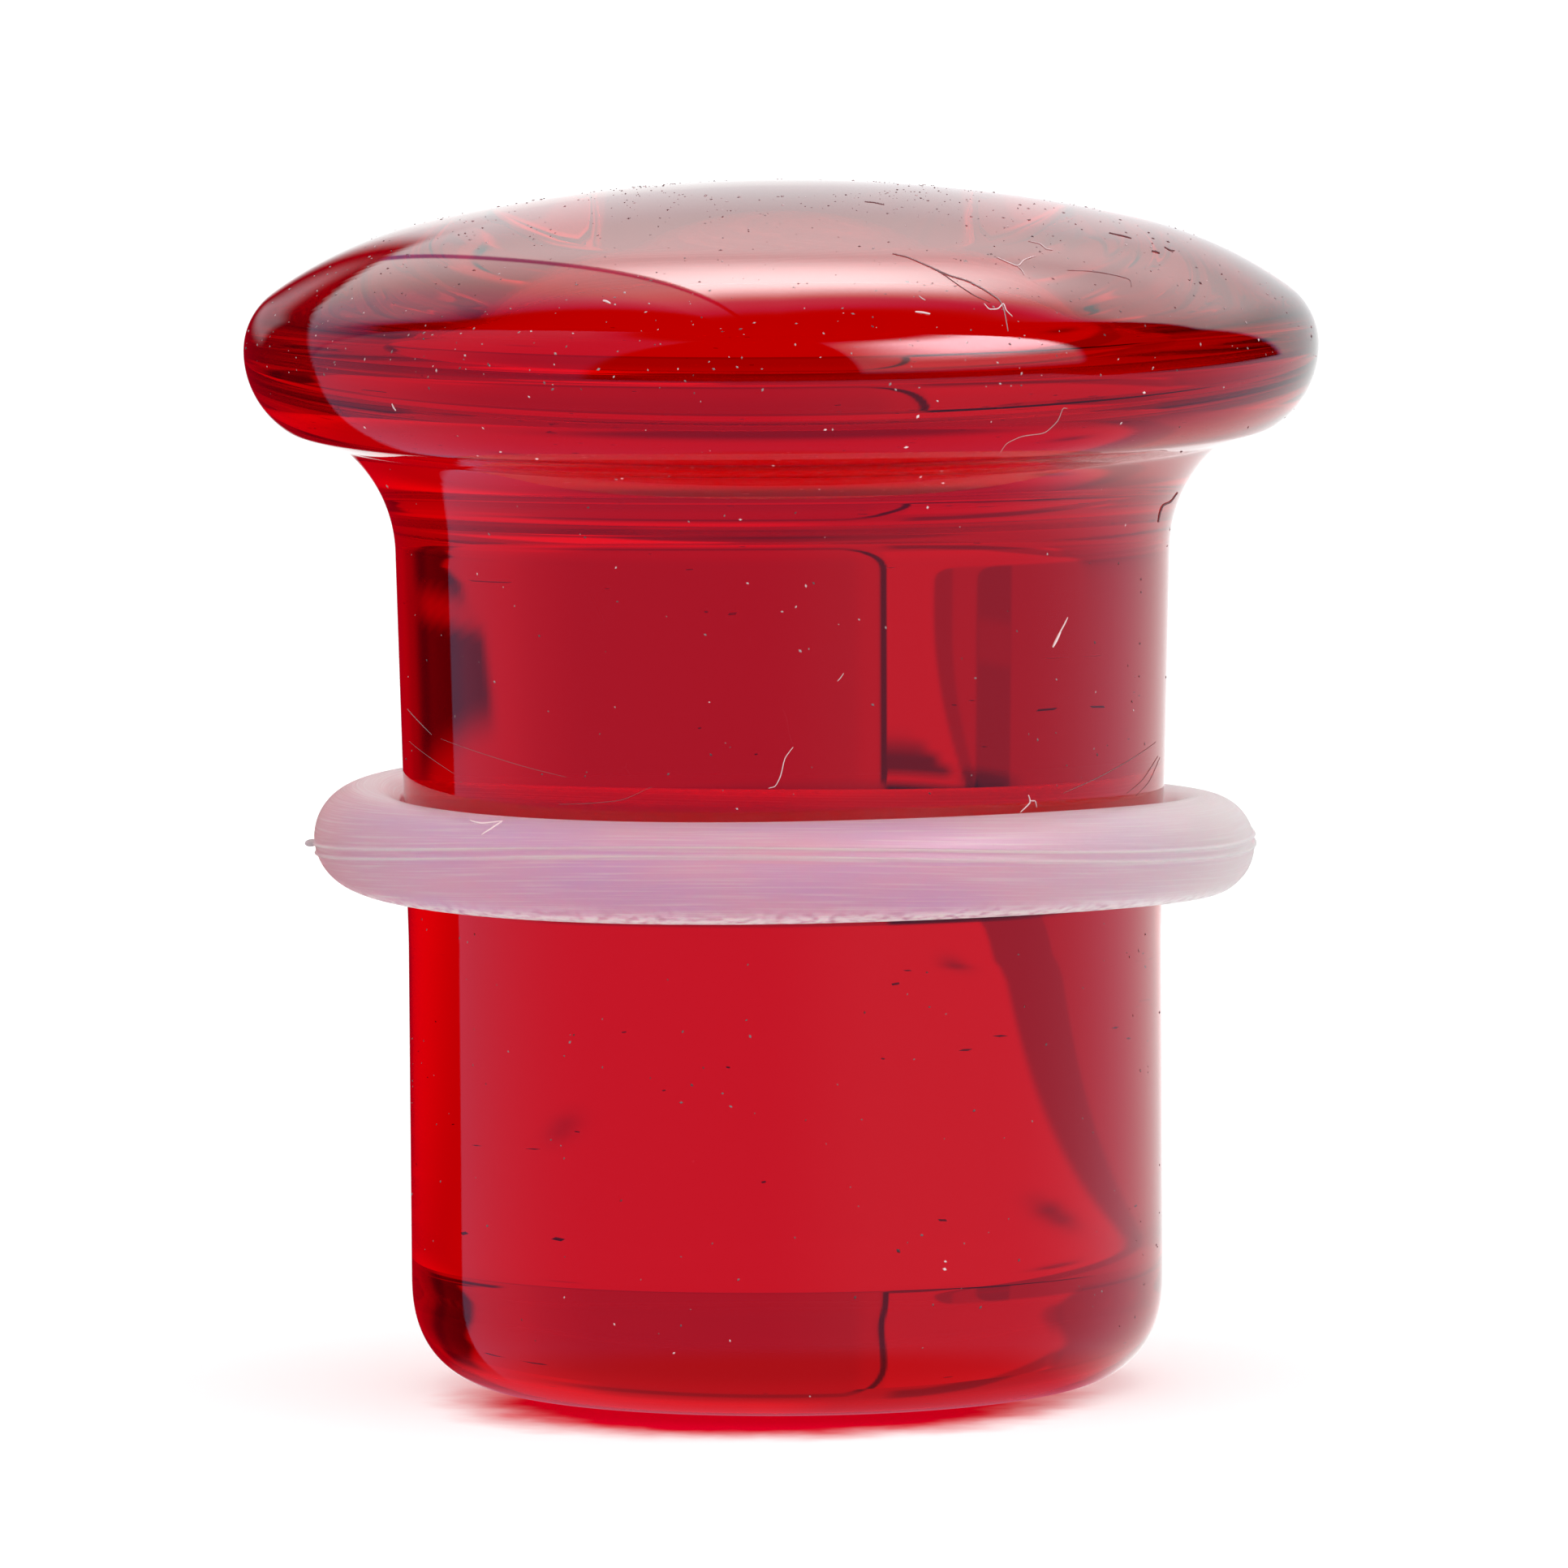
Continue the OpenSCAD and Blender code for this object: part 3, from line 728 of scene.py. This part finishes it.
# The rear light: a pale wall up to the overhead softbox, with slanting sides. Left of a dark line
# at 190 degrees it is a plain wall that darkens to the left and upwards
rear_edge = 120 + 0.38 * np.clip(32 - height, 0, 40) + 0.6 * np.clip(height - 34, 0, 40)
rear = between(behind, rear_edge, rear_edge + 4, 236, 242)
rear_wall = 1.10 + 0.75 * ramp(height, 18, 34)
overhead = 6 * ramp(height, 36, 56) * between(behind, 147, 174, 189.8, 190.2)
top_edge = 60.5 - 0.2 * np.clip(180 - behind, 0, 60)
rear_light = (rear_wall + overhead) * (1 - 0.94 * ramp(height, top_edge - 6, top_edge + 4)) * rear
rear_light *= 1 - ramp(height, top_edge + 2, top_edge + 11)
fade_from = 54 - np.clip(behind - 197, 0, 30)
side_wall = 1.45 - 0.6 * ramp(behind, 192, 206) - 0.5 * ramp(behind, 206, 240)
side_wall *= (1 - ramp(height, fade_from, fade_from + 18)) * (1 - ramp(behind, 236, 242))
rear_light = np.where(behind > 190, side_wall, rear_light)
rear_light *= 1 - 0.85 * between(behind, 189.2, 189.8, 190.4, 191)
# The key light on the right, whose far side slants, with a weak glow that reaches further down
key_end = 71 + 0.35 * (height - 22)
key = 11 * between(azimuth, 16, 56, key_end - 3, key_end + 2) * between(height, 30, 52, 62, 74)
key += 0.9 * between(azimuth, 17, 19, key_end - 2, key_end + 1) * between(height, 15, 24, 60, 74)
upper = np.maximum(np.maximum(left_wall * (1 - rear), rear_light), key)
mirrored = below * table + (1 - below) * upper
# Dim stretches look blue, and the key light a little lilac
blue = 0.27 * (1 - ramp(mirrored, 0.6, 1.2)) * ramp(mirrored, 0.02, 0.15)
lilac = 0.1 * ramp(key, 0.5, 2)
mirrored = np.stack([mirrored * (1 + lilac) + 0.4 * blue, mirrored, mirrored * (1 + lilac) + blue], -1)
# A red card stands close by on the left, with one pale patch on it
card_azimuth, card_height, card_half = -150, -6, 32
disc = np.hypot((azimuth - card_azimuth + 180) % 360 - 180, height - card_height) / card_half
card_seen = ((1 - ramp(disc, 0.97, 1.0)) * ramp(azimuth, -177, -172) * (azimuth < 0))[..., None]
patch = (0.4 * between(azimuth, -172, -166, -153, -147) * between(height, 1, 7, 14, 20))[..., None]
mirrored += (linear("#ae001a")[:3] + patch * np.array([1.0, 1.0, 1.1]) - mirrored) * card_seen
rise = np.radians(height)
softboxes = turned_shell("softboxes", azimuth, shell_r * np.cos(rise),
                         shell_r * np.sin(rise) + total_h / 2, mirrored)
softboxes.visible_transmission = False

# The rounded foot of the plug mirrors the red glow just in front of it, given as a painted
# reflection: a glowing disc, seen only in mirror images, that lies just above the floor, round a
# middle in front of the plug's, and turns clear towards its rim
glow_r, glow_front, glow_full = 5.4, 2.0, 3.6
share, azimuth = np.meshgrid(np.linspace(0.02, 1, 40), np.arange(0, 360, 2.0), indexing="ij")
lean = np.radians(azimuth)
radius = share * (glow_front * np.cos(lean) + np.sqrt(glow_r ** 2 - (glow_front * np.sin(lean)) ** 2))
height = -floor_drop * (0.2 + 0.6 * share)
from_glow = np.hypot(radius * np.sin(lean), glow_front - radius * np.cos(lean))
glow = np.ones(radius.shape + (1,)) * linear("#ce657e")[:3]
cover = 1 - ramp(from_glow, glow_full, glow_r)
foot_glow = turned_shell("glow_at_the_foot", azimuth, radius, height, glow, cover)
foot_glow.visible_transmission = False

# The light on matt surfaces comes from a white tent that is brightest overhead, a little brighter
# on the right than on the left, and dimmer behind
world = bpy.data.worlds.new("white studio tent")
bpy.context.scene.world = world
world.use_nodes = True
tree = world.node_tree
tree.nodes.clear()
place = add(tree, "ShaderNodeTexCoord")
parts = add(tree, "ShaderNodeSeparateXYZ", {0: place.outputs["Generated"]})
level = add(tree, "ShaderNodeMapRange", {"Value": parts.outputs["Z"], "From Min": 0.0, "From Max": 1.0,
                                         "To Min": 0.63, "To Max": 1.75})
sided = add(tree, "ShaderNodeMath", {0: parts.outputs["X"], 1: 0.3, 2: level.outputs[0]},
            operation="MULTIPLY_ADD")
front = add(tree, "ShaderNodeMapRange", {"Value": parts.outputs["Y"], "From Min": 0.1, "From Max": 0.7,
                                         "To Min": 1.05, "To Max": 0.6}, interpolation_type="SMOOTHSTEP")
strength = add(tree, "ShaderNodeMath", {0: sided.outputs[0], 1: front.outputs[0]}, operation="MULTIPLY")
tent = add(tree, "ShaderNodeBackground", {"Color": linear("#ffffff"), "Strength": strength.outputs[0]})
add(tree, "ShaderNodeOutputWorld", {"Surface": tent.outputs[0]})

# The camera: a long macro lens 300 mm away, aimed at the middle of the plug, looking down by 5.4
# degrees and turned a little round its own line of sight
camera_data = bpy.data.cameras.new("macro lens")
camera_data.lens = 525
camera_data.sensor_width = 36
camera_data.clip_start, camera_data.clip_end = 0.01, 20
camera = bpy.data.objects.new("camera", camera_data)
bpy.context.scene.collection.objects.link(camera)
look_down, roll = math.radians(5.4), math.radians(-0.4)
distance, aim = 300 * MM, total_h / 2 * MM
camera.location = (0, -distance * math.cos(look_down), aim + distance * math.sin(look_down))
camera.rotation_euler = (math.pi / 2 - look_down, 0, 0)
camera.rotation_euler.rotate_axis("Z", roll)
bpy.context.scene.camera = camera

scene = bpy.context.scene
scene.view_settings.view_transform = "Standard"
# Light turns back many times inside the plug before it leaves
scene.cycles.transmission_bounces = 24
scene.cycles.glossy_bounces = 64
scene.cycles.max_bounces = 72
